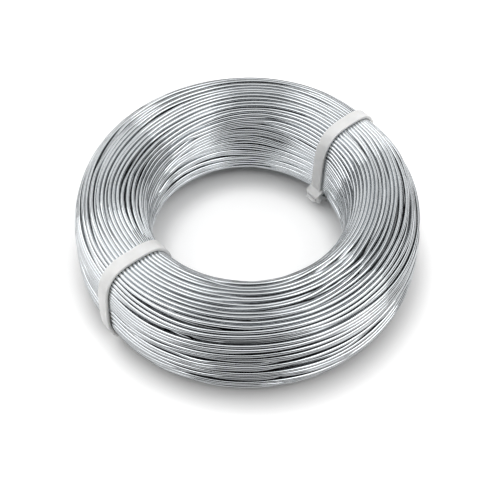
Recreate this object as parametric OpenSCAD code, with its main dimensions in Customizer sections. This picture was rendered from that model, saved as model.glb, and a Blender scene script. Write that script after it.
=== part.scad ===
// Coil of aluminium craft wire, held by two nylon cable ties.
// The coil lies flat: its axis is +Z and the origin is on the floor, on that axis.
// The straps run under the coil, so the wire stands one strap clear of the floor.

/* [Coil] */
// Outside diameter of the coil at half its height, over the outermost turns
coil_od = 140; // [110:1:180]
// Diameter of the bore, inside the innermost turns
bore_d = 79; // [50:1:95]
// Height of the coil, over its top and bottom turns
coil_h = 41.5; // [30:0.5:50]
// Diameter of the wire
wire_d = 1.6; // [1.5:0.1:3]
// Least free space between two turns that lie side by side
turn_gap = 0.05; // [0.03:0.01:0.3]
// Squareness of the wound section: 2 is an ellipse, larger has tighter corners
squareness = 3.4; // [2.4:0.1:6]
// Slump of the outer wall: how far it leans in at the top and out at the foot
slump = 2; // [0:0.1:3]

/* [Cable ties] */
// Direction of the first tie round the coil's axis; the second is opposite
tie_angle = 39.5; // [0:0.5:180]
// Width of a strap
strap_w = 4.8; // [3.6:0.1:7]
// Thickness of a strap
strap_t = 1.3; // [0.9:0.1:1.8]
// Clearance between a strap and the turns that it holds, at the middle of the strap
strap_gap = 0.3; // [0.25:0.05:0.5]

/* [Tie head] */
// Height above the floor at which the strap turns into its head
head_z = 7.5; // [6:0.5:16]
// Thickness of the head's side walls, beside the slot
cheek_t = 0.8; // [0.5:0.1:2]
// Length of the head along the strap
head_l = 6; // [5:0.1:9]
// How far the head stands off the turns
head_d = 4.6; // [4:0.1:7]
// Clearance of the tail in the head's slot, on each side
slot_gap = 0.2; // [0.1:0.05:0.3]
// Inside radius of the bend where the tail enters the slot
bend_r = 0.35; // [0.3:0.05:0.8]
// Length of the trimmed tail that stands out of the head
tail_l = 1.2; // [0.4:0.1:4]
// Bevel along the head's outer edges
head_bevel = 0.8; // [0.2:0.1:1.2]
// Pitch of the teeth across the tail
tooth_pitch = 0.9; // [0.7:0.05:1.4]
// Depth of the teeth
tooth_d = 0.3; // [0.15:0.05:0.45]
// How far the pawl's tip stays from the foot of the teeth
pawl_gap = 0.1; // [0.05:0.05:0.15]

/* [Hidden] */
$fn = 24;
coil_fn = 144;
overcut = 1; // how far a cut or a trim runs past what it cuts
wire_r = wire_d / 2;
mid_r = (coil_od + bore_d) / 4;
lift = strap_t + strap_gap;
mid_z = lift + coil_h / 2;

// The centres of the outer turns lie on one superellipse round the section, with its
// outer half slumped; a is the direction from its middle, and 0 points away from the axis.
half_w = (coil_od - bore_d) / 4 - wire_r;
half_h = coil_h / 2 - wire_r;
samples = 720;
function reach(a) = pow(pow(abs(cos(a)) / half_w, squareness)
                        + pow(abs(sin(a)) / half_h, squareness), -1 / squareness);
function on_section(a) =
  let (across = reach(a) * cos(a), up = reach(a) * sin(a))
  [mid_r + across - slump * max(across, 0) / half_w * up / half_h, mid_z + up];

// Arc length from angle 0, going up the outer wall first, and its inverse.
steps = [for (i = [0:samples]) on_section(360 * i / samples)];
arc = [for (i = 0, s = 0; i <= samples;
            i = i + 1, s = i <= samples ? s + norm(steps[i] - steps[i - 1]) : s) s];
girth = arc[samples];
angle_at = [for (i = [0:samples]) [arc[i], 360 * i / samples]];
function wrap(s) = s - girth * floor(s / girth);
function section_at(s) = on_section(lookup(wrap(s), angle_at));

// Direction along the section, its outward normal, and a point set off from it.
function unit(v) = v / norm(v);
function along(s) = unit(section_at(s + wire_r / 2) - section_at(s - wire_r / 2));
function outward(s) = [along(s)[1], -along(s)[0]];
function set_off(s, d) = section_at(s) + d * outward(s);

// Turns round the section, evenly spaced.
turn_n = floor(girth / (wire_d + turn_gap));
turn_centres = [for (i = [0:turn_n - 1]) section_at(girth * i / turn_n)];

// Strap faces, as distances from the line of turn centres.
strap_in = wire_r + strap_gap;
strap_mid = strap_in + strap_t / 2;
strap_out = strap_in + strap_t;

// The head's frame: its origin is where the strap bends into the slot, on the
// inner wall of the coil; u runs along the strap, up the wall, and n points at the bore.
inner_wall = [for (i = [samples / 2:samples * 3 / 4]) [steps[i][1], arc[i]]];
low_to_high = [for (i = [len(inner_wall) - 1:-1:0]) inner_wall[i]];
bend_s = lookup(head_z, low_to_high);
head_o = section_at(bend_s);
head_u = -along(bend_s);
head_n = outward(bend_s);
head_tilt = atan2(head_u[0], head_u[1]);
function in_head(u, n) = head_o + u * head_u + n * head_n;

// The bend's centre line, the slot that it enters, and the head round that slot.
bend_mid = bend_r + strap_t / 2;
slot_lo = bend_r - slot_gap;
slot_hi = bend_r + strap_t + slot_gap;
head_lo = bend_mid - head_l / 2;
head_hi = bend_mid + head_l / 2;
head_top = wire_r + head_d;
head_w = strap_w + 2 * (slot_gap + cheek_t);

// Outline of the strap: from inside the head, round the coil, and back to the bend.
strap_steps = 120;
strap_start = bend_s - slot_hi;
strap_s = [for (i = [0:strap_steps])
           strap_start + (bend_s - girth - strap_start) * i / strap_steps];
strap_outline = concat([for (s = strap_s) set_off(s, strap_in)],
                       [for (i = [strap_steps:-1:0]) set_off(strap_s[i], strap_out)]);

// Outline of the bend and the tail. The teeth are cut in the face nearest the pawl:
// each is a steep face and a long ramp, at these shares of the pitch.
bend_steps = 6;
bend_n = strap_mid + bend_mid;
tail_end = head_top + tail_l;
tooth_face = bend_r + strap_t;
tooth_n = floor((tail_end - bend_n) / tooth_pitch);
tooth_top = 0.9;
tooth_foot = 0.8;
tooth_end = 0.1;
function on_bend(i, r) = in_head(r * sin(90 * i / bend_steps),
                                 bend_n - r * cos(90 * i / bend_steps));
function tooth(k) = [for (p = [[0, tooth_top], [tooth_d, tooth_foot], [0, tooth_end]])
                     in_head(tooth_face - p[0], tail_end - (k + p[1]) * tooth_pitch)];
tail_outline = concat([for (i = [0:bend_steps]) on_bend(i, tooth_face)],
                      [for (k = [tooth_n - 1:-1:0]) each tooth(k)],
                      [in_head(tooth_face, tail_end), in_head(bend_r, tail_end)],
                      [for (i = [bend_steps:-1:0]) on_bend(i, bend_r)]);

// The pawl's tip lies just above the foot of a tooth in the middle of the slot.
pawl_tooth = floor(tooth_n / 2);
pawl_n = tail_end - (pawl_tooth + tooth_foot - 0.05) * tooth_pitch;

// One layer of turns round a core that fills the section up to their centres.
module wound_section() {
  polygon(turn_centres);
  for (c = turn_centres) translate(c) circle(d = wire_d);
}

module wire_coil() {
  color("silver") rotate_extrude($fn = coil_fn) wound_section();
}

// A slice of the tie, w wide, drawn in the plane through the coil's axis.
module across(w) {
  rotate([90, 0, 0]) linear_extrude(w, center = true) children();
}

// The head's outline: its base follows the strap below the slot and the turns above it.
module head_outline() {
  base_n = 6;
  below = [for (i = [0:base_n]) bend_s - head_lo + (head_lo - slot_hi) * i / base_n];
  above = [for (i = [0:base_n]) bend_s - slot_hi + (slot_hi - head_hi) * i / base_n];
  polygon(concat([for (s = below) set_off(s, strap_out + slot_gap)],
                 [for (s = above) set_off(s, strap_in)],
                 [in_head(head_hi, head_top - head_bevel), in_head(head_hi - head_bevel, head_top),
                  in_head(head_lo + head_bevel, head_top), in_head(head_lo, head_top - head_bevel)]));
}

// Stands its children in the head's frame: z runs along u, and x points away from the bore.
module at_head() {
  translate([head_o[0], 0, head_o[1]]) rotate([0, head_tilt, 0]) children();
}

// A bar as wide as the head, with its outer edges bevelled, that trims the head's outline.
module head_bar() {
  side = head_w / 2;
  translate([0, 0, head_lo - overcut]) linear_extrude(head_l + 2 * overcut)
    polygon([[wire_d, side], [head_bevel - head_top, side], [-head_top, side - head_bevel],
             [-head_top, head_bevel - side], [head_bevel - head_top, -side], [wire_d, -side]]);
}

module slot() {
  translate([-head_top - overcut, -strap_w / 2 - slot_gap, slot_lo])
    cube([head_top + overcut, strap_w + 2 * slot_gap, slot_hi - slot_lo]);
}

module head() {
  difference() {
    intersection() {
      across(head_w) head_outline();
      at_head() head_bar();
    }
    at_head() slot();
  }
}

// The pawl reaches from the slot's upper wall into the teeth without touching them.
module pawl() {
  across(strap_w - 2 * slot_gap)
    polygon([in_head(slot_hi + slot_gap, pawl_n + tooth_pitch / 2),
             in_head(slot_hi + slot_gap, pawl_n - tooth_pitch),
             in_head(tooth_face - tooth_d + pawl_gap, pawl_n)]);
}

module cable_tie(angle) {
  color("whitesmoke") rotate([0, 0, angle]) {
    across(strap_w) polygon(strap_outline);
    across(strap_w) polygon(tail_outline);
    head();
    pawl();
  }
}

module cable_tie_back() { cable_tie(tie_angle); }
module cable_tie_front() { cable_tie(tie_angle + 180); }

wire_coil();
cable_tie_back();
cable_tie_front();
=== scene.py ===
# %% [markdown]
# # A coil of aluminium craft wire
#
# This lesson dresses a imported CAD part: a thick ring of bare 1.6 mm aluminium wire, lying flat
# and held on opposite sides by two white nylon cable ties. The CAD part fixes the size of the
# ring and of the ties. Blender makes what the eye reads as wire: one long strand that is wound
# turn on turn, wanders a little, leaves narrow dark gaps and dives under its neighbours.
#
# Lengths are written in millimetres, and MM turns them into Blender's metres.

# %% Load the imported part
from math import cos, pi, radians, sin, tan

import bmesh
import bpy
import numpy as np
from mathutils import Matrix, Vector


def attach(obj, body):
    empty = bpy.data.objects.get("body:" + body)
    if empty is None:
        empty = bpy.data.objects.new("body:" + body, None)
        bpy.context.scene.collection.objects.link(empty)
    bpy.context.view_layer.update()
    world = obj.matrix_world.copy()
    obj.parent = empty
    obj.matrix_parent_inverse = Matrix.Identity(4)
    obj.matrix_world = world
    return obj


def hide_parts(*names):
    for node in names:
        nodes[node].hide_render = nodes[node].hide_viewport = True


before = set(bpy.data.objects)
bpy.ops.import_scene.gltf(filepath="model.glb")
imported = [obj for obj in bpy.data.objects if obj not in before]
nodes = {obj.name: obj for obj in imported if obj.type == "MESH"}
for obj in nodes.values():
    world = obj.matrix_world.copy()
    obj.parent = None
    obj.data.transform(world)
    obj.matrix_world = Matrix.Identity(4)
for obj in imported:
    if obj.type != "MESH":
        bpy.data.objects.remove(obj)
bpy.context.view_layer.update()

MM = 0.001

# %% [markdown]
# ## Camera
#
# A coil on a table is looked at from about a third of a metre, steeply from above, so that the
# round plan and the height of the wall both show. The lens is a moderate one: a long lens would
# flatten the ring and a short one would swell its front. Distance, tilt and field of view
# belong together: a camera further off needs a longer lens to draw a ring of the same size.

# %% Camera
LOOK_DOWN = radians(53.8)
CAMERA_DISTANCE = 323.3 * MM
FIELD_OF_VIEW = radians(36.6)
NEAREST_SEEN = 10 * MM
AIM = Vector((-1.4, 2.5, 0)) * MM

camera = bpy.data.objects.new("camera", bpy.data.cameras.new("camera"))
bpy.context.collection.objects.link(camera)
camera.data.angle = FIELD_OF_VIEW
camera.data.clip_start = NEAREST_SEEN
camera.location = AIM + CAMERA_DISTANCE * Vector((0, -cos(LOOK_DOWN), sin(LOOK_DOWN)))
camera.rotation_euler = (pi / 2 - LOOK_DOWN, 0, 0)
bpy.context.scene.camera = camera
print("camera at", [round(v, 4) for v in camera.location])

# %% [markdown]
# ## The shape that the turns are packed in
#
# A wound coil has no mould: its section is whatever outline the strapped turns settle into. The
# CAD part holds that outline as a turned solid, so it is read back here. For each direction in
# the plane of the section the farthest vertex gives one support line, and the support lines,
# moved in by the wire's radius, bound the centres of all turns.

# %% Read the coil's section
WIRE = 1.6
DIRECTIONS = 144


def vertices_mm(thing):
    """All vertices of a mesh object, in millimetres."""
    flat = np.empty(len(thing.data.vertices) * 3, np.float32)
    thing.data.vertices.foreach_get("co", flat)
    return flat.reshape(-1, 3).astype(float) / MM


coil_points = vertices_mm(nodes["wire_coil"])
section_points = np.c_[np.hypot(coil_points[:, 0], coil_points[:, 1]), coil_points[:, 2]]
section_middle = (section_points.min(0) + section_points.max(0)) / 2
facing = np.arange(DIRECTIONS) * 2 * pi / DIRECTIONS
lines = np.c_[np.cos(facing), np.sin(facing)]
support = ((section_points - section_middle) @ lines.T).max(0) - WIRE / 2
print("section middle (radius, height):", section_middle.round(2))

# %% Closed lines inside the section


def ring_of_centres(depth):
    """Arc lengths and points of the closed line that lies depth inside the support lines."""
    inset = support - depth
    slope = (np.roll(inset, -1) - np.roll(inset, 1)) / (4 * pi / DIRECTIONS)
    sideways = np.c_[-lines[:, 1], lines[:, 0]]
    points = inset[:, None] * lines + slope[:, None] * sideways
    points = np.vstack([points, points[:1]])
    lengths = np.r_[0, np.cumsum(np.hypot(*np.diff(points, axis=0).T))]
    return lengths, points


print("girth of the turn centres: %.1f mm" % ring_of_centres(0)[0][-1])

# %% [markdown]
# ## Stations round the ring
#
# Every turn is drawn through the same stations round the ring, so that neighbours can be
# compared point by point. The straps keep the turns in place, so the directions of the two
# ties are read from the CAD part: the nearer a station is to a tie, the less its turns may
# wander.

# %% Stations round the coil, and how free the turns are at each
STATIONS = 160
STRAND_START = radians(48)
TIE_HOLD = radians(22)
TIE_GRIP = 0.55

tie_nodes = ["cable_tie_back", "cable_tie_front"]
tie_azimuths = []
for name in tie_nodes:
    middle = vertices_mm(nodes[name]).mean(0)
    tie_azimuths.append(np.arctan2(middle[1], middle[0]))
print("ties at", np.degrees(tie_azimuths).round(1), "degrees")

azimuth = STRAND_START + np.arange(STATIONS) * 2 * pi / STATIONS


def turned_to(angles, centre):
    """Angles measured from centre, from minus a half turn to a half turn."""
    return (angles - centre + pi) % (2 * pi) - pi


nearest_tie = np.min([np.abs(turned_to(azimuth, a)) for a in tie_azimuths], axis=0)
freedom = 1 - TIE_GRIP * np.exp(-(nearest_tie / TIE_HOLD) ** 2)
print("freedom of the turns: %.2f to %.2f" % (freedom.min(), freedom.max()))

# %% [markdown]
# ## Where the straps bite
#
# A strap that is pulled tight squeezes the turns under it, so the ring is a little thinner
# there. The squeeze is made by moving the support lines in near each tie, before the strand is
# laid. It fades out towards the foot, because the coil stands on its straps there, and a strap
# that moved in would lift off the floor.

# %% How far each strap bites into the coil
BITE = 0.8
BITE_REACH = radians(13)
FOOT_FACING = 0.85
FOOT_FADE = 0.55

up_share = np.clip((lines[:, 1] + FOOT_FACING) / FOOT_FADE, 0, 1)
bite_by_side = up_share * up_share * (3 - 2 * up_share)
bite_by_station = BITE * np.exp(-(nearest_tie / BITE_REACH) ** 2)
limits = support[None] - bite_by_station[:, None] * bite_by_side[None]
print("strap bite: %.2f mm at the top, %.2f mm underneath" % (
    np.ptp(limits[:, DIRECTIONS // 4]), np.ptp(limits[:, 3 * DIRECTIONS // 4])))

# %% [markdown]
# ## Winding the wire
#
# The real coil is one strand of some 150 metres. It could be drawn as a bundle of plain
# rings, but then every line would run parallel and the coil would look printed. So the strand
# is laid turn after turn through three layers under the surface, each turn starting where the
# last one ended. Three smooth random fields say where each stretch wants to lie: a slow drift
# along the coil's skin, a short jostle along it, and a depth that it sinks to. Near the ties
# all three are held back.

# %% Smooth random fields over the coil's skin
SEED = 3

rng = np.random.default_rng(SEED)


def ripple(waves_round, waves_along, reach_round, reach_along, count):
    """A smooth random field, periodic round the section and along the ring, of unit spread.

    It is a sum of count waves, of up to waves_round and waves_along periods. Waves of more
    periods than reach_round and reach_along are made smaller.
    """
    m = rng.integers(0, waves_round + 1, count)
    n = rng.integers(-waves_along, waves_along + 1, count)
    size = 1 / np.hypot(1, m / reach_round) / np.hypot(1, n / reach_along)
    phase = rng.uniform(0, 2 * pi, count)

    def value(share_round, angle):
        total = sum(s * np.cos(2 * pi * a * share_round + b * angle + p)
                    for s, a, b, p in zip(size, m, n, phase))
        return total / np.sqrt((size ** 2).sum() / 2)
    return value


print("random fields start from seed", SEED)

# %% Lay the strand
FIRST_TURN_AT = 0.86
LAYER_STEP = 1.7
PITCH = 1.53
DRIFT = 1.2
DRIFT_WAVES = dict(waves_round=6, waves_along=4, reach_round=3, reach_along=2, count=60)
JOSTLE = 0.3
JOSTLE_WAVES = dict(waves_round=36, waves_along=7, reach_round=20, reach_along=3, count=200)
SINK = 0.6
SINK_WAVES = dict(waves_round=50, waves_along=4, reach_round=200, reach_along=3, count=240)
USUAL_SINK = 0.5
WALL_SINK = 1.8


def lay_layer(depth, turns, way):
    """Turn centres of one layer, shape (turns, stations, 2), spiralling round the section.

    On the outer wall a turn sinks more, by up to WALL_SINK times as much again.
    """
    lengths, points = ring_of_centres(depth)
    drift = ripple(**DRIFT_WAVES)
    jostle = ripple(**JOSTLE_WAVES)
    sink = ripple(**SINK_WAVES)
    turn = np.arange(turns)[:, None] + np.arange(STATIONS)[None] / STATIONS
    share = turn / turns
    angle = np.broadcast_to(azimuth, share.shape)
    shift = (DRIFT * drift(share, angle) + JOSTLE * jostle(share, angle)) * freedom
    deeper = np.clip(SINK * (sink(share, angle) + USUAL_SINK), 0, None) * freedom
    at = ((FIRST_TURN_AT + way * share) * lengths[-1] + shift) % lengths[-1]
    centre = np.stack([np.interp(at, lengths, points[:, k]) for k in (0, 1)], -1)
    inward = -centre / np.linalg.norm(centre, axis=-1, keepdims=True)
    deeper *= 1 + WALL_SINK * np.clip(-inward[..., 0], 0, 1)
    return centre + deeper[..., None] * inward


layer_depths = [2 * LAYER_STEP, LAYER_STEP, 0]
layer_turns = [int(ring_of_centres(depth)[0][-1] / PITCH) for depth in layer_depths]
layers = [lay_layer(depth, turns, (-1) ** k)
          for k, (depth, turns) in enumerate(zip(layer_depths, layer_turns))]
wanted = np.concatenate(layers)
all_turns = len(wanted)
print("turns laid:", all_turns, "with", STATIONS, "stations each")

# %% [markdown]
# ## Letting the turns settle
#
# The strand as laid still runs through itself. It is relaxed in rounds, like a rope: each point
# moves towards the middle of its two neighbours, towards the place it wants, away from turns
# that are closer than a wire's width, and back inside the section. Where two turns want the
# same place, one dives and a gap opens beside it.
#
# Wire that is wound under tension takes no sharp bend, so sharp bends are smoothed the most,
# and the last rounds do nothing else. That has a price: in a few short stretches two turns are
# left cutting into each other. The last lines print how near the nearest two come and how sharp
# the sharpest dive is.

# %% Moves that relax the strand
APART = WIRE + 0.02
DEEPEST = 2 * LAYER_STEP + 1.3
PUSH = 0.45
SHARP = 0.07
SHARP_SMOOTHING = 0.95
NO_DISTANCE = 1e-6

upper = np.triu_indices(all_turns, 1)


def near_pairs(strand, reach):
    """Indices of all pairs of strand points at one station that lie within reach."""
    first, second = [], []
    for k in range(STATIONS):
        gap = strand[upper[0], k] - strand[upper[1], k]
        close = (gap ** 2).sum(1) < reach ** 2
        first.append(upper[0][close] * STATIONS + k)
        second.append(upper[1][close] * STATIONS + k)
    return np.concatenate(first), np.concatenate(second)


def smoothed(strand, share):
    """The strand with each point moved towards the middle of its neighbours, sharp bends most."""
    line = strand.reshape(-1, 2)
    middle = line.copy()
    middle[1:-1] = (line[:-2] + line[2:]) / 2
    bend = np.hypot(*(middle - line).T)
    share = share + (SHARP_SMOOTHING - share) * np.clip(bend / SHARP - 1, 0, 1)
    return (line + share[:, None] * (middle - line)).reshape(strand.shape)


def pushed_apart(strand, pairs):
    """Moves every pair that is closer than a wire's width apart, by a share of its overlap."""
    flat = strand.reshape(-1, 2)
    first, second = pairs
    gap = flat[first] - flat[second]
    distance = np.hypot(gap[:, 0], gap[:, 1])
    tight = distance < APART
    first, second, gap, distance = first[tight], second[tight], gap[tight], distance[tight]
    push = gap * (PUSH * (APART - distance) / np.maximum(distance, NO_DISTANCE))[:, None]
    move = [np.bincount(first, push[:, k], len(flat)) - np.bincount(second, push[:, k], len(flat))
            for k in (0, 1)]
    return (flat + np.stack(move, -1)).reshape(strand.shape)


def kept_in(strand):
    """Pulls every point back between the coil's outline and its hidden core."""
    flat = strand.reshape(-1, 2)
    over = (strand @ lines.T - limits).reshape(-1, DIRECTIONS)
    worst = over.argmax(1)
    past = over[np.arange(len(flat)), worst]
    back = np.clip(past, 0, None) - np.clip(-DEEPEST - past, 0, None)
    return (flat - lines[worst] * back[:, None]).reshape(strand.shape)


print("turns are pushed %.2f mm apart and lie %.1f mm deep at most" % (APART, DEEPEST))

# %% Relax the strand
ROUNDS = 260
PULLED_ROUNDS = 240
SETTLING_ROUNDS = 60
LAST_ROUNDS = 60
RELIST = 40
LISTED_WITHIN = 4.0
SMOOTHING, SETTLING_SMOOTHING = 0.55, 0.25
PULL, SETTLED_PULL = 0.05, 0.01
NEIGHBOURS_WITHIN = 2.2

strand = wanted.copy()
for step in range(ROUNDS):
    if step % RELIST == 0:
        pairs = near_pairs(strand, LISTED_WITHIN)
    settling = step >= ROUNDS - SETTLING_ROUNDS
    strand = smoothed(strand, SETTLING_SMOOTHING if settling else SMOOTHING)
    strand += (PULL if step < PULLED_ROUNDS else SETTLED_PULL) * (wanted - strand)
    strand = kept_in(pushed_apart(strand, pairs))
for step in range(LAST_ROUNDS):
    strand = kept_in(smoothed(strand, 0))

first, second = near_pairs(strand, NEIGHBOURS_WITHIN)
flat = strand.reshape(-1, 2)
closest = np.hypot(*(flat[first] - flat[second]).T).min()
print("closest two turns: %.3f mm between centres" % closest)
dive = np.hypot(*np.diff(flat, 2, axis=0).T)
print("sharpest dive: %.2f mm off the straight line" % dive.max())

# %% [markdown]
# ## Painted light on the crowns and painted shade in the grooves
#
# Each turn is painted light on the side that faces out of the coil, and painted shade darkens the
# grooves between the turns. So each point of the strand carries a vector that points out of the
# coil and slightly up. The material compares it with the wire's own normal: where the two agree,
# on the crown, the wire keeps its bright tone, and elsewhere it gets the painted shade.
#
# On the outer side the vector is tipped up and shortened a lot, so that the painted shade reaches
# under every turn. It is painted shade, stronger than any real dulling, and it stands in for the
# dim surroundings that a turn mirrors from below, which a bare white floor doesn't have. The price
# is that the outer turns and the outer third of the underside look nearly black to an eye below
# the coil. On the inner side it is tipped only a little.

# %% Where the coil's skin is, seen from each turn
# How far the vector that decides the painted light and shade is tipped up and shortened.
PAINTED_LIGHT_FROM_ABOVE = 0.2
PAINTED_SHADE_TIP_OUTER = 6.0
PAINTED_SHADE_OUTER = 0.6
PAINTED_SHADE_TIP_INNER = 0.6
PAINTED_SHADE_INNER = 0.05


def skin_over(over):
    """Depth under the skin and outward direction, from the distances past all support lines."""
    depth = -over.max(-1)
    out = np.exp(over + depth[..., None]) @ lines
    return depth, out / np.linalg.norm(out, axis=-1, keepdims=True)


depth_in, outward = skin_over((strand @ lines.T - limits).reshape(-1, DIRECTIONS))
on_outer_side = np.clip(outward[:, 0], 0, 1)
on_inner_side = np.clip(-outward[:, 0], 0, 1)
outward[:, 1] += (PAINTED_LIGHT_FROM_ABOVE + PAINTED_SHADE_TIP_OUTER * on_outer_side
                  + PAINTED_SHADE_TIP_INNER * on_inner_side)
outward /= np.linalg.norm(outward, axis=1, keepdims=True)
outward *= (1 - PAINTED_SHADE_OUTER * on_outer_side - PAINTED_SHADE_INNER * on_inner_side)[:, None]
print("deepest turn centre: %.2f mm under the outer ones" % depth_in.max())

# %% [markdown]
# ## From line to wire
#
# A path that is swept with a round profile is the natural job of Geometry Nodes. The tree takes
# a chain of edges, makes it a curve, sweeps a circle along it, caps the ends and gives it the
# material. The profile's own points are stored as the attribute "skin": they tell a material
# where round the wire a point lies, and have no seam. "along" is the length of wire so far.
# A third attribute, which the material paints light and shade by, is highest on the side of the
# wire that faces out of the coil, and falls to 0 and below where it meets its neighbour.

# %% A tree that turns a chain of edges into wire


def add(tree, kind, links=(), **settings):
    """A new node; links maps an input to an output socket or a plain value."""
    node = tree.nodes.new(kind)
    for name, value in settings.items():
        setattr(node, name, value)
    for key, value in dict(links).items():
        socket = node.inputs[key]
        if isinstance(value, bpy.types.NodeSocket):
            tree.links.new(value, socket)
        else:
            socket.default_value = value
    return node


def wire_tree():
    """The node tree, and the identifiers of its named inputs."""
    tree = bpy.data.node_groups.new("wire_along_a_chain", "GeometryNodeTree")
    sockets = {}
    for name, kind in (("Chain", "Geometry"), ("Wire diameter", "Float"), ("Sides", "Int"),
                       ("Finish", "Material")):
        sockets[name] = tree.interface.new_socket(
            name=name, in_out="INPUT", socket_type="NodeSocket" + kind).identifier
    tree.interface.new_socket(name="Wire", in_out="OUTPUT", socket_type="NodeSocketGeometry")
    given = add(tree, "NodeGroupInput").outputs
    radius = add(tree, "ShaderNodeMath", {0: given["Wire diameter"], 1: 2.0},
                 operation="DIVIDE").outputs[0]
    circle = add(tree, "GeometryNodeCurvePrimitiveCircle",
                 {"Resolution": given["Sides"], "Radius": radius}).outputs["Curve"]
    place = add(tree, "GeometryNodeInputPosition").outputs[0]
    profile = add(tree, "GeometryNodeStoreNamedAttribute",
                  {"Geometry": circle, "Name": "skin", "Value": place},
                  data_type="FLOAT_VECTOR", domain="POINT").outputs[0]
    curve = add(tree, "GeometryNodeMeshToCurve", {"Mesh": given["Chain"]}).outputs[0]
    swept = add(tree, "GeometryNodeCurveToMesh",
                {"Curve": curve, "Profile Curve": profile, "Fill Caps": True}).outputs[0]
    # The vector that decides where light and shade are painted on the wire.
    painted_lit_vector = add(tree, "GeometryNodeInputNamedAttribute", {"Name": "outward"},
                      data_type="FLOAT_VECTOR").outputs[0]
    agreement = add(tree, "ShaderNodeVectorMath",
                    {0: add(tree, "GeometryNodeInputNormal").outputs[0], 1: painted_lit_vector},
                    operation="DOT_PRODUCT").outputs["Value"]
    painted_light_crown = add(tree, "GeometryNodeStoreNamedAttribute",
                {"Geometry": swept, "Name": "painted_light_crown", "Value": agreement},
                data_type="FLOAT", domain="POINT").outputs[0]
    bare = add(tree, "GeometryNodeRemoveAttribute",
               {"Geometry": painted_light_crown, "Name": "outward"}).outputs[0]
    smooth = add(tree, "GeometryNodeSetShadeSmooth", {"Geometry": bare}).outputs[0]
    real = add(tree, "GeometryNodeRealizeInstances", {"Geometry": smooth}).outputs[0]
    done = add(tree, "GeometryNodeSetMaterial",
               {"Geometry": real, "Material": given["Finish"]}).outputs[0]
    add(tree, "NodeGroupOutput", {0: done})
    return tree, sockets


wire_nodes, wire_sockets = wire_tree()
print("wire tree has", len(wire_nodes.nodes), "nodes")

# %% [markdown]
# ## The finish of drawn aluminium
#
# Craft wire is pulled through a die and sold bare. It is bright, but no mirror: the die leaves
# fine lines along the wire, and handling leaves a thin haze and a few duller stretches. A
# metallic shader with low roughness does the rest. The fine lines come from noise that is
# stretched along the wire, and the dull stretches from a slow noise along it.
#
# Painted shade lies where the crown attribute is low, in one dark tone. It also grows with depth,
# the distance under the coil's skin, so that deep turns and the gaps between the turns are painted
# dark.

# %% Aluminium material
USUAL_NOISE = (0.3, 0.7)
WIRE_TONES = ((0.60, 0.625, 0.645, 1), (0.66, 0.685, 0.705, 1))
# The dark tone of the painted shade in the grooves, under the outer turns and on deep turns.
PAINTED_SHADE_TONE = (0.035, 0.037, 0.04, 1)
PAINTED_SHADE_ENDS_AT = 0.38
DEPTH_SEEN, DEPTH_HIDDEN = 0.6, 2.2
PAINTED_LIGHT_WHEN_HIDDEN = 0.45
LINES_ROUND, LINES_ALONG = 1500.0, 12.0
STREAKS_ALONG = 9.0
LINES_ROUGHNESS = (0.035, 0.07)
STREAKS_ROUGHNESS = (-0.02, 0.03)


def new_material(name):
    """A material with its tree and its shader."""
    material = bpy.data.materials.new(name)
    material.use_nodes = True
    return material, material.node_tree, material.node_tree.nodes["Principled BSDF"]


def spread(tree, value, low, high):
    """Maps a noise value from its usual range onto low to high."""
    return add(tree, "ShaderNodeMapRange",
               {"Value": value, "From Min": USUAL_NOISE[0], "From Max": USUAL_NOISE[1],
                "To Min": low, "To Max": high}).outputs[0]


def mixed(tree, share, first, second):
    """A colour between first and second."""
    return add(tree, "ShaderNodeMix", {0: share, 6: first, 7: second},
               data_type="RGBA").outputs[2]


def attribute(tree, name, output="Fac"):
    """A named attribute of the mesh, as a number unless another output is asked for."""
    return add(tree, "ShaderNodeAttribute", attribute_name=name).outputs[output]


def drawn_aluminium():
    """Bare drawn wire: fine lines, slow streaks, and painted shade away from the crowns."""
    material, tree, shader = new_material("drawn_aluminium")
    along = attribute(tree, "along")
    across = add(tree, "ShaderNodeVectorMath",
                 {0: attribute(tree, "skin", "Vector"), "Scale": LINES_ROUND},
                 operation="SCALE").outputs[0]
    parts = add(tree, "ShaderNodeSeparateXYZ", {0: across}).outputs
    stretched = add(tree, "ShaderNodeMath", {0: along, 1: LINES_ALONG},
                    operation="MULTIPLY").outputs[0]
    lengthwise = add(tree, "ShaderNodeCombineXYZ",
                     {0: parts[0], 1: parts[1], 2: stretched}).outputs[0]
    die_lines = add(tree, "ShaderNodeTexNoise",
                    {"Vector": lengthwise, "Scale": 1.0, "Detail": 3.0}).outputs[0]
    streaks = add(tree, "ShaderNodeTexNoise",
                  {"W": along, "Scale": STREAKS_ALONG, "Detail": 2.0},
                  noise_dimensions="1D").outputs[0]
    # Painted shade: darker where the wire's normal turns away from the painted light side, and
    # deeper under the skin.
    painted_light_by_side = add(tree, "ShaderNodeMapRange",
                 {"Value": attribute(tree, "painted_light_crown"), "From Min": 0.0, "From Max": PAINTED_SHADE_ENDS_AT},
                 interpolation_type="SMOOTHSTEP").outputs[0]
    painted_light_by_depth = add(tree, "ShaderNodeMapRange",
                   {"Value": attribute(tree, "depth"), "From Min": DEPTH_SEEN,
                    "From Max": DEPTH_HIDDEN, "To Min": 1.0,
                    "To Max": PAINTED_LIGHT_WHEN_HIDDEN}).outputs[0]
    painted_light = add(tree, "ShaderNodeMath", {0: painted_light_by_side, 1: painted_light_by_depth}, operation="MULTIPLY").outputs[0]
    metal = mixed(tree, spread(tree, streaks, 0.0, 1.0), *WIRE_TONES)
    tree.links.new(mixed(tree, painted_light, PAINTED_SHADE_TONE, metal), shader.inputs["Base Color"])
    rough = add(tree, "ShaderNodeMath",
                {0: spread(tree, die_lines, *LINES_ROUGHNESS),
                 1: spread(tree, streaks, *STREAKS_ROUGHNESS)}, operation="ADD").outputs[0]
    tree.links.new(rough, shader.inputs["Roughness"])
    shader.inputs["Metallic"].default_value = 1.0
    return material


aluminium = drawn_aluminium()
print("material", aluminium.name)

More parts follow.
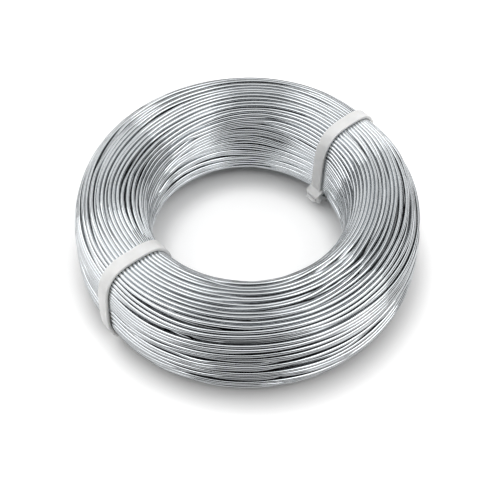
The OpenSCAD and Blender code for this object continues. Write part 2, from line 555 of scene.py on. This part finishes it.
# %% [markdown]
# ## The wire's pieces
#
# The strand is swept in four stretches, so that no mesh grows too heavy: the third and the second
# layer, of which little shows, get fewer sides, and the outer layer is cut in two. A plain ring
# fills what lies deeper, so that no daylight shows between the turns. It has none of the strand's
# attributes, so the same material paints it all over in the dark tone of the painted shade.

# %% Sweep the three layers
ABOUT_ONE_TURN = 350 * MM


def plain_mesh(thing, name):
    """Replaces an object's mesh and modifiers by a plain mesh of the evaluated shape."""
    bpy.context.view_layer.update()
    evaluated = thing.evaluated_get(bpy.context.evaluated_depsgraph_get())
    mesh = bpy.data.meshes.new_from_object(evaluated)
    thing.modifiers.clear()
    old = thing.data
    thing.data = mesh
    bpy.data.meshes.remove(old)
    thing.name = name
    mesh.name = name


def new_object(name, mesh):
    """An object for the mesh, in the scene and at the origin."""
    thing = bpy.data.objects.new(name, mesh)
    bpy.context.collection.objects.link(thing)
    return thing


def wire_piece(name, first_turn, last_turn, sides):
    """One stretch of the strand as a swept mesh, from first_turn up to last_turn."""
    start = first_turn * STATIONS
    stop = min(last_turn * STATIONS + 1, all_turns * STATIONS)
    line = strand.reshape(-1, 2)[start:stop] + section_middle
    turned = STRAND_START + np.arange(start, stop) * 2 * pi / STATIONS
    points = np.c_[line[:, 0] * np.cos(turned), line[:, 0] * np.sin(turned), line[:, 1]] * MM
    mesh = bpy.data.meshes.new(name)
    edges = [(i, i + 1) for i in range(len(points) - 1)]
    mesh.from_pydata(points.tolist(), edges, [])
    steps = np.linalg.norm(np.diff(points, axis=0), axis=1)
    along = mesh.attributes.new("along", "FLOAT", "POINT")
    along.data.foreach_set("value", np.r_[0, np.cumsum(steps)] + first_turn * ABOUT_ONE_TURN)
    depth = mesh.attributes.new("depth", "FLOAT", "POINT")
    depth.data.foreach_set("value", depth_in[start:stop])
    radial, up = outward[start:stop].T
    normal = mesh.attributes.new("outward", "FLOAT_VECTOR", "POINT")
    normal.data.foreach_set(
        "vector", np.c_[radial * np.cos(turned), radial * np.sin(turned), up].ravel())
    piece = new_object(name, mesh)
    sweep = piece.modifiers.new("sweep", "NODES")
    sweep.node_group = wire_nodes
    sweep[wire_sockets["Wire diameter"]] = WIRE * MM
    sweep[wire_sockets["Sides"]] = sides
    sweep[wire_sockets["Finish"]] = aluminium
    plain_mesh(piece, name)
    print(name, "%.1f m of wire," % steps.sum(), len(piece.data.polygons), "faces")
    return piece


inner_end, middle_end = layer_turns[0], layer_turns[0] + layer_turns[1]
half_way = middle_end + layer_turns[2] // 2
wire_pieces = [
    wire_piece("wire_third_layer", 0, inner_end, sides=6),
    wire_piece("wire_second_layer", inner_end, middle_end, sides=8),
    wire_piece("wire_outer_turns_a", middle_end, half_way, sides=12),
    wire_piece("wire_outer_turns_b", half_way, all_turns, sides=12),
]

# %% Hidden core
CORE_DEPTH = 3 * LAYER_STEP
CORE_STEPS = 144


def turned_core(name, depth, around):
    """A closed ring that fills the section below the layers that can be seen."""
    outline = ring_of_centres(depth)[1][:-1:2] + section_middle
    mesh = bpy.data.meshes.new(name)
    form = bmesh.new()
    rings = []
    for k in range(around):
        a = 2 * pi * k / around
        rings.append([form.verts.new((r * cos(a) * MM, r * sin(a) * MM, z * MM))
                      for r, z in outline])
    count = len(outline)
    for k in range(around):
        here, there = rings[k], rings[(k + 1) % around]
        for j in range(count):
            form.faces.new((here[j], there[j], there[(j + 1) % count], here[(j + 1) % count]))
    bmesh.ops.recalc_face_normals(form, faces=form.faces)
    form.to_mesh(mesh)
    form.free()
    mesh.materials.append(aluminium)
    return new_object(name, mesh)


# Painted shade: the core shows only the dark tone of the material.
core = turned_core("wire_hidden_core", CORE_DEPTH, CORE_STEPS)
print("core faces", len(core.data.polygons))

# %% [markdown]
# ## The cable ties
#
# A cable tie is one nylon moulding: a strap with a ladder of teeth, and a head with a slot and
# a pawl. The CAD ties have the right shape and size but the hard edges of a drawing. A moulded
# edge is never sharp, so each tie is copied, its loose triangles are merged, flat regions are
# dissolved, it follows the turns that it squeezes, and every hard edge gets a small round.
#
# Uncoloured nylon is a slightly cloudy white that light enters a little way, so the material
# has some scattering under its surface, a satin gloss and a very fine grain.

# %% Nylon material
NYLON_TONES = ((0.70, 0.70, 0.695, 1), (0.78, 0.78, 0.775, 1))
CLOUDS, GRAIN = 160.0, 2600.0
NYLON_ROUGHNESS = (0.38, 0.5)
GRAIN_STRENGTH, GRAIN_HEIGHT = 0.15, 0.03
SCATTER_SHARE, SCATTER_DEPTH = 0.9, 1.6
SCATTER_BY_COLOUR = (1.0, 0.98, 0.92)


def natural_nylon():
    """Uncoloured moulded nylon."""
    material, tree, shader = new_material("natural_nylon")
    place = add(tree, "ShaderNodeTexCoord").outputs["Object"]
    cloud = add(tree, "ShaderNodeTexNoise",
                {"Vector": place, "Scale": CLOUDS, "Detail": 3.0}).outputs[0]
    grain = add(tree, "ShaderNodeTexNoise",
                {"Vector": place, "Scale": GRAIN, "Detail": 2.0}).outputs[0]
    tone = mixed(tree, spread(tree, cloud, 0.0, 1.0), *NYLON_TONES)
    tree.links.new(tone, shader.inputs["Base Color"])
    tree.links.new(spread(tree, grain, *NYLON_ROUGHNESS), shader.inputs["Roughness"])
    bump = add(tree, "ShaderNodeBump",
               {"Height": grain, "Strength": GRAIN_STRENGTH,
                "Distance": GRAIN_HEIGHT * MM}).outputs[0]
    tree.links.new(bump, shader.inputs["Normal"])
    shader.inputs["Subsurface Weight"].default_value = SCATTER_SHARE
    shader.inputs["Subsurface Radius"].default_value = SCATTER_BY_COLOUR
    shader.inputs["Subsurface Scale"].default_value = SCATTER_DEPTH * MM
    return material


nylon = natural_nylon()
print("material", nylon.name)

# %% Move each tie in with the squeezed turns
HUG = 0.2


def bitten_in(tie):
    """Moves a tie's vertices in with the wires that its strap has squeezed."""
    places = vertices_mm(tie)
    radius = np.hypot(places[:, 0], places[:, 1])
    section = np.c_[radius, places[:, 2]] - section_middle
    out = skin_over(section @ lines.T - support)[1]
    side = np.interp(np.arctan2(out[:, 1], out[:, 0]) % (2 * pi), facing, bite_by_side)
    moved = section + section_middle - out * ((BITE + HUG) * side)[:, None]
    places[:, :2] *= (moved[:, 0] / radius)[:, None]
    places[:, 2] = moved[:, 1]
    tie.data.vertices.foreach_set("co", (places * MM).ravel())
    tie.data.update()


print("straps move in by up to %.1f mm" % (BITE + HUG))

# %% Round the edges of each tie
EDGE_ROUND = 0.4
EDGE_STEPS = 3
HARD_EDGE = radians(35)
SAME_POINT = 0.002
STILL_FLAT = radians(0.5)


def moulded_tie(node):
    """A copy of a CAD tie, merged, moved in with the turns, and with rounded edges."""
    name = node + "_moulded"
    form = bmesh.new()
    form.from_mesh(nodes[node].data)
    bmesh.ops.remove_doubles(form, verts=form.verts, dist=SAME_POINT * MM)
    bmesh.ops.dissolve_limit(form, angle_limit=STILL_FLAT, verts=form.verts, edges=form.edges)
    mesh = bpy.data.meshes.new(name)
    form.to_mesh(mesh)
    form.free()
    mesh.materials.clear()
    mesh.materials.append(nylon)
    tie = new_object(name, mesh)
    bitten_in(tie)
    round_off = tie.modifiers.new("round", "BEVEL")
    round_off.width = EDGE_ROUND * MM
    round_off.segments = EDGE_STEPS
    round_off.limit_method = "ANGLE"
    round_off.angle_limit = HARD_EDGE
    round_off.harden_normals = True
    plain_mesh(tie, name)
    tie.data.shade_smooth()
    print(name, len(tie.data.polygons), "faces")
    return tie


ties = [moulded_tie(name) for name in tie_nodes]

# %% [markdown]
# ## Floor
#
# The coil lies on a plain white floor, which is part of the stage and not of the object. A floor
# of one plain colour would be grey wherever the lamps light it unevenly. So it also glows a
# little, for what the camera sees and for what the metal mirrors, and it lights nothing else. The
# glow is left out near the ring and fades in beside it, on both sides, so that the soft shadow
# under the wall stays; the darker band without glow is a painted shadow beside the real one, and
# the metal mirrors it too. Its middle lies slightly off the axis, so that this painted shadow is
# wider on one side.

# %% Floor
FLOOR_TONE = (0.84, 0.84, 0.84, 1)
FLOOR_ROUGHNESS = 0.9
FLOOR_HALF_WIDTH = 3.0
RING_MIDDLE = section_middle[0]
GLOW = 0.36
# The glow's middle is moved off the axis, to make the painted shadow wider on one side.
GLOW_MIDDLE = (1.5, -2.0, 0.0)
GLOW_STARTS = 12
GLOW_FULL = 25


def white_floor():
    """A white square whose glow only the camera and mirrored rays see."""
    material, tree, shader = new_material("white_floor")
    shader.inputs["Base Color"].default_value = FLOOR_TONE
    shader.inputs["Roughness"].default_value = FLOOR_ROUGHNESS
    shader.inputs["Specular IOR Level"].default_value = 0.0
    shader.inputs["Emission Color"].default_value = (1, 1, 1, 1)
    ray = add(tree, "ShaderNodeLightPath").outputs
    seen = add(tree, "ShaderNodeMath", {0: ray["Is Camera Ray"], 1: ray["Is Glossy Ray"]},
               operation="MAXIMUM").outputs[0]
    seen = add(tree, "ShaderNodeMath", {0: seen, 1: ray["Is Transmission Ray"]},
               operation="MAXIMUM").outputs[0]
    place = add(tree, "ShaderNodeTexCoord").outputs["Object"]
    from_axis = add(tree, "ShaderNodeVectorMath",
                    {0: place, 1: Vector(GLOW_MIDDLE) * MM}, operation="DISTANCE").outputs["Value"]
    from_ring = add(tree, "ShaderNodeMath", {0: from_axis, 1: RING_MIDDLE * MM},
                    operation="SUBTRACT").outputs[0]
    away = add(tree, "ShaderNodeMath", {0: from_ring}, operation="ABSOLUTE").outputs[0]
    # Painted shadow: the glow is left out near the ring, so the floor beside it stays darker.
    far = add(tree, "ShaderNodeMapRange",
              {"Value": away, "From Min": GLOW_STARTS * MM, "From Max": GLOW_FULL * MM,
               "To Min": 0.0, "To Max": GLOW}, interpolation_type="SMOOTHSTEP").outputs[0]
    glow = add(tree, "ShaderNodeMath", {0: seen, 1: far}, operation="MULTIPLY").outputs[0]
    tree.links.new(glow, shader.inputs["Emission Strength"])
    mesh = bpy.data.meshes.new("floor")
    half = FLOOR_HALF_WIDTH
    mesh.from_pydata([(-half, -half, 0), (half, -half, 0), (half, half, 0), (-half, half, 0)],
                     [], [(0, 1, 2, 3)])
    mesh.materials.append(material)
    return new_object("floor", mesh)


floor = white_floor()
print("floor is %.0f m wide" % (2 * FLOOR_HALF_WIDTH))

# %% [markdown]
# ## Light
#
# Polished wire shows its surroundings more than its own colour, so the lamps are large soft
# panels and the gaps between them make the dark sectors of the ring. One hangs above, four
# stand round it at half height, and four low ones fill in the walls. Each is given by where it
# is seen from the coil and by how much of the sky it covers, and a radiance of 1 would show as
# plain white. A dim grey world lights what no panel reaches.

# %% Lights
LAMP_DISTANCE = 3.0
LAMPS = [
    # name, azimuth, height, half width and half height in degrees, radiance
    ("softbox_above", 270, 84, 30, 21, 1.45),
    ("softbox_left", 187, 45, 34, 21, 1.6),
    ("softbox_right", 331, 45, 24, 20, 1.75),
    ("softbox_back_right", 28, 50, 24, 14, 1.25),
    ("softbox_back_left", 122, 48, 17, 14, 1.35),
    ("fill_behind", 88, 24, 42, 11, 0.7),
    ("fill_low_left", 187, 13, 29, 10, 0.85),
    ("fill_low_right", 322, 16, 17, 8, 0.9),
    ("fill_back_right", 68, 30, 10, 16, 0.9),
]


def softbox(name, azimuth, height, half_width, half_height, radiance):
    """A rectangular lamp that faces the coil and covers the given half angles."""
    lamp = bpy.data.lights.new(name, "AREA")
    lamp.shape = "RECTANGLE"
    size = [2 * LAMP_DISTANCE * tan(radians(half)) for half in (half_width, half_height)]
    lamp.size, lamp.size_y = size
    lamp.energy = radiance * pi * size[0] * size[1]
    box = bpy.data.objects.new(name, lamp)
    bpy.context.collection.objects.link(box)
    a, h = radians(azimuth), radians(height)
    way = Vector((cos(a) * cos(h), sin(a) * cos(h), sin(h)))
    box.location = way * LAMP_DISTANCE
    box.rotation_euler = way.to_track_quat("Z", "Y").to_euler()


for settings in LAMPS:
    softbox(*settings)
print("lamps:", len(LAMPS))

# %% World
WORLD_TONE = (0.5, 0.5, 0.5, 1)
WORLD_STRENGTH = 0.16

world = bpy.data.worlds.new("studio")
world.use_nodes = True
world.node_tree.nodes["Background"].inputs[0].default_value = WORLD_TONE
world.node_tree.nodes["Background"].inputs[1].default_value = WORLD_STRENGTH
bpy.context.scene.world = world
bpy.context.scene.view_settings.view_transform = "Standard"
print("world strength", WORLD_STRENGTH)

# %% [markdown]
# ## Back to the frame
#
# Each piece rides on a body. The coil has one body and no joint, so all ride on the root, and the
# CAD nodes that the pieces stand for are hidden.

# %% Tie the pieces to the frame
for piece in wire_pieces + [core]:
    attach(piece, "root")
    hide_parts("wire_coil")
for piece, node in zip(ties, tie_nodes):
    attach(piece, "root")
    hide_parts(node)
